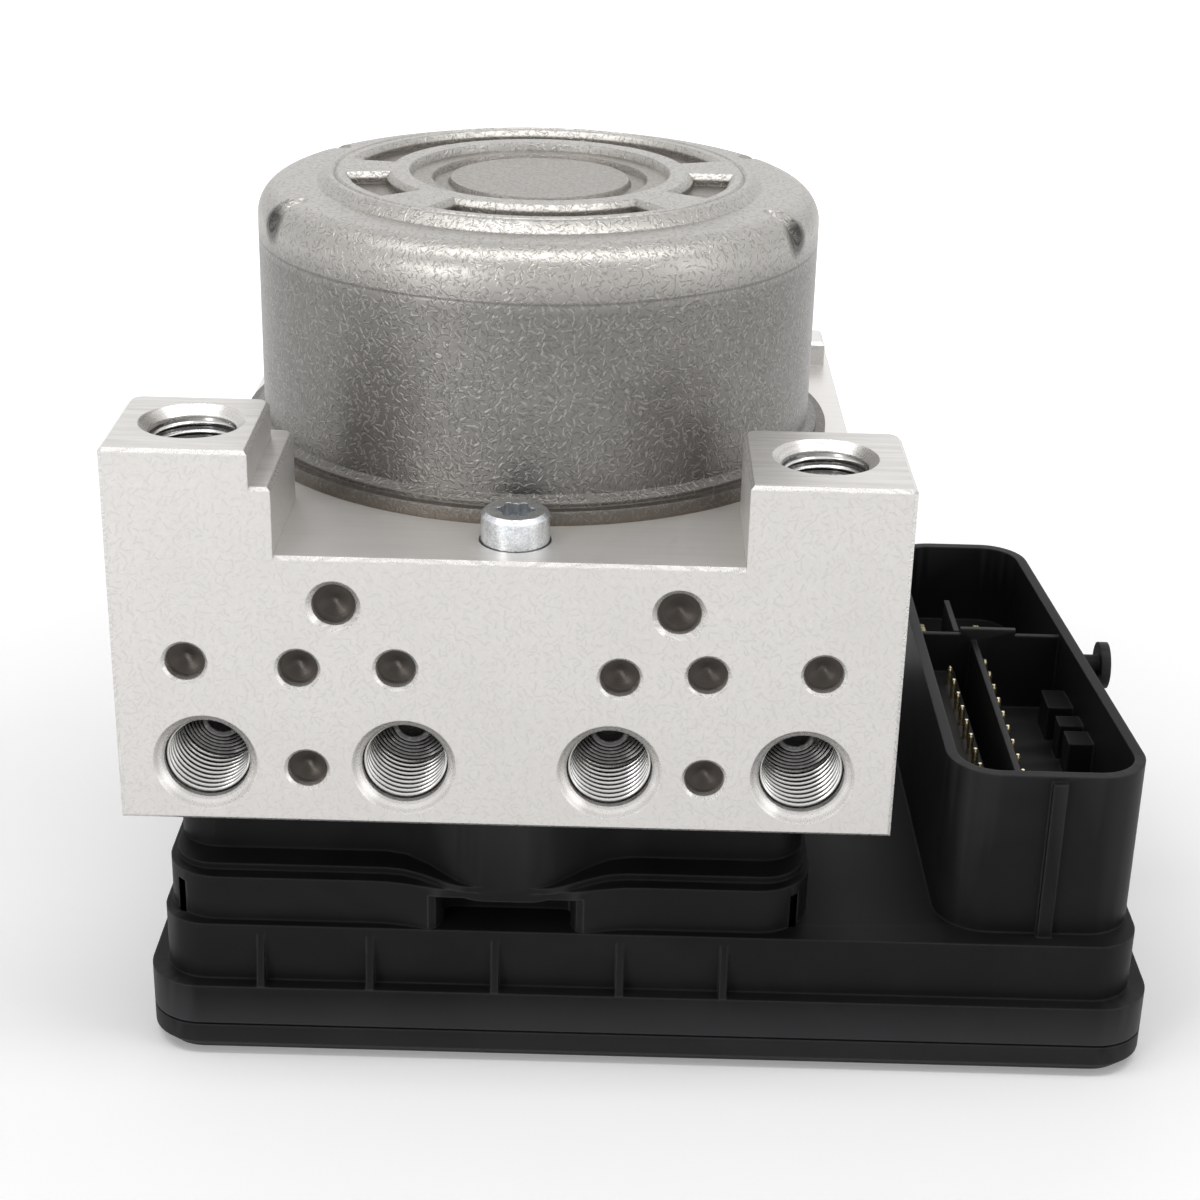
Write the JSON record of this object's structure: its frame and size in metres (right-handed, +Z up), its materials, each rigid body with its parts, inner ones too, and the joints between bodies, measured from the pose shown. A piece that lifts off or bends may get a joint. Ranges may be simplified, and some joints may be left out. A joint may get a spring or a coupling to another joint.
{
  "type": "brake pressure modulator",
  "caption": "Anti-lock brake modulator: an aluminium valve block with threaded ports, a round pump motor on top and a black control unit with a multi-pin connector below.",
  "frame": {"origin": "where the motor's axis meets the underside of the control unit's cover", "axes": "+Z up along the motor's axis, +X along the long side towards the connector, +Y to the rear, away from the row of ports"},
  "size_m": [0.1492, 0.1044, 0.121],
  "materials": {
    "block_aluminium": "bead-blasted, machined edges",
    "can_steel": "satin drawn sheet",
    "plug_steel": "dark turned",
    "zinc_steel": "zinc plated",
    "black_plastic": "satin moulded",
    "cover_plastic": "satin moulded",
    "pin_brass": "plated, bright",
    "insert_brass": "turned",
    "ground_steel": "ground",
    "spring_steel": "bright wire",
    "magnet_ferrite": "sintered, dull",
    "core_steel": "stacked sheet",
    "copper": "enamelled wire",
    "carbon": "pressed carbon",
    "holder_plastic": "moulded",
    "rubber": "dull",
    "board_green": "lacquered",
    "chip_black": "moulded"
  },
  "bodies": {
    "hydraulic_unit": {"valve_block": "block_aluminium", "channel_plugs": "plug_steel", "large_channel_plugs": "plug_steel", "through_bolts": "zinc_steel", "threaded_inserts": "insert_brass", "pump_end_plugs": "zinc_steel", "accumulator_covers": "zinc_steel", "motor_can": "can_steel", "motor_end_plate": "zinc_steel", "brush_holder": "holder_plastic", "brush_spring_left": "spring_steel", "brush_spring_right": "spring_steel", "magnets": "magnet_ferrite", "top_bearing": "insert_brass", "lower_bearing": "ground_steel", "motor_contact_pins": "pin_brass", "pump_cylinders": "ground_steel", "pump_spring_left": "spring_steel", "pump_spring_right": "spring_steel", "pump_check_balls": "ground_steel", "accumulator_spring_left": "spring_steel", "accumulator_spring_right": "spring_steel", "inlet_valves": "ground_steel", "outlet_valves": "ground_steel", "valve_springs": "spring_steel", "coil_windings": "copper", "coil_yokes": "core_steel", "pressure_sensor": "ground_steel", "control_housing": "black_plastic", "control_cover": "cover_plastic", "cover_seal": "rubber", "block_seal": "rubber", "circuit_board": "board_green", "board_parts": "chip_black", "connector_pins": "pin_brass", "power_blades": "pin_brass"},
    "rotor": {"motor_shaft": "ground_steel", "armature_core": "core_steel", "armature_windings": "copper", "commutator": "copper"},
    "eccentric": {"eccentric_ring": "ground_steel"},
    "pump_piston_left": {"pump_piston_left": "ground_steel"},
    "pump_piston_right": {"pump_piston_right": "ground_steel"},
    "accumulator_piston_left": {"accumulator_piston_left": "block_aluminium", "accumulator_seal_left": "rubber"},
    "accumulator_piston_right": {"accumulator_piston_right": "block_aluminium", "accumulator_seal_right": "rubber"},
    "inlet_armature_1": {"inlet_armature_1": "ground_steel"},
    "inlet_armature_2": {"inlet_armature_2": "ground_steel"},
    "inlet_armature_3": {"inlet_armature_3": "ground_steel"},
    "inlet_armature_4": {"inlet_armature_4": "ground_steel"},
    "outlet_armature_1": {"outlet_armature_1": "ground_steel"},
    "outlet_armature_2": {"outlet_armature_2": "ground_steel"},
    "outlet_armature_3": {"outlet_armature_3": "ground_steel"},
    "outlet_armature_4": {"outlet_armature_4": "ground_steel"},
    "brush_left": {"brush_left": "carbon"},
    "brush_right": {"brush_right": "carbon"}
  },
  "joints": [
    {"name": "rotor_spin", "type": "hinge", "parent": "hydraulic_unit", "child": "rotor", "pos_m": [0, 0, 0.0672], "axis": [0, 0, 1], "continuous": true},
    {"name": "eccentric_spin", "type": "hinge", "parent": "rotor", "child": "eccentric", "pos_m": [0, 0.001, 0.0672], "axis": [0, 0, 1], "continuous": true},
    {"name": "pump_stroke_left", "type": "slide", "parent": "hydraulic_unit", "child": "pump_piston_left", "axis": [-1, 0, 0], "range_m": [0, 0.002], "stiffness_N_per_m": 2000, "deforming": ["pump_spring_left"]},
    {"name": "pump_stroke_right", "type": "slide", "parent": "hydraulic_unit", "child": "pump_piston_right", "axis": [1, 0, 0], "range_m": [0, 0.002], "stiffness_N_per_m": 2000, "deforming": ["pump_spring_right"]},
    {"name": "accumulator_stroke_left", "type": "slide", "parent": "hydraulic_unit", "child": "accumulator_piston_left", "axis": [0, 1, 0], "range_m": [0, 0.006], "stiffness_N_per_m": 8000, "deforming": ["accumulator_spring_left"]},
    {"name": "accumulator_stroke_right", "type": "slide", "parent": "hydraulic_unit", "child": "accumulator_piston_right", "axis": [0, 1, 0], "range_m": [0, 0.006], "stiffness_N_per_m": 8000, "deforming": ["accumulator_spring_right"]},
    {"name": "inlet_stroke_1", "type": "slide", "parent": "hydraulic_unit", "child": "inlet_armature_1", "axis": [0, 0, 1], "range_m": [0, 0.0003], "stiffness_N_per_m": 5000},
    {"name": "inlet_stroke_2", "type": "slide", "parent": "hydraulic_unit", "child": "inlet_armature_2", "axis": [0, 0, 1], "range_m": [0, 0.0003], "stiffness_N_per_m": 5000},
    {"name": "inlet_stroke_3", "type": "slide", "parent": "hydraulic_unit", "child": "inlet_armature_3", "axis": [0, 0, 1], "range_m": [0, 0.0003], "stiffness_N_per_m": 5000},
    {"name": "inlet_stroke_4", "type": "slide", "parent": "hydraulic_unit", "child": "inlet_armature_4", "axis": [0, 0, 1], "range_m": [0, 0.0003], "stiffness_N_per_m": 5000},
    {"name": "outlet_stroke_1", "type": "slide", "parent": "hydraulic_unit", "child": "outlet_armature_1", "axis": [0, 0, -1], "range_m": [0, 0.0003], "stiffness_N_per_m": 5000},
    {"name": "outlet_stroke_2", "type": "slide", "parent": "hydraulic_unit", "child": "outlet_armature_2", "axis": [0, 0, -1], "range_m": [0, 0.0003], "stiffness_N_per_m": 5000},
    {"name": "outlet_stroke_3", "type": "slide", "parent": "hydraulic_unit", "child": "outlet_armature_3", "axis": [0, 0, -1], "range_m": [0, 0.0003], "stiffness_N_per_m": 5000},
    {"name": "outlet_stroke_4", "type": "slide", "parent": "hydraulic_unit", "child": "outlet_armature_4", "axis": [0, 0, -1], "range_m": [0, 0.0003], "stiffness_N_per_m": 5000},
    {"name": "brush_slide_left", "type": "slide", "parent": "hydraulic_unit", "child": "brush_left", "axis": [-1, 0, 0], "range_m": [0, 0.0025], "stiffness_N_per_m": 200, "deforming": ["brush_spring_left"]},
    {"name": "brush_slide_right", "type": "slide", "parent": "hydraulic_unit", "child": "brush_right", "axis": [1, 0, 0], "range_m": [0, 0.0025], "stiffness_N_per_m": 200, "deforming": ["brush_spring_right"]}
  ],
  "couplings": [
    {"joint": "eccentric_spin", "follows": "rotor_spin", "ratio": -1}
  ]
}
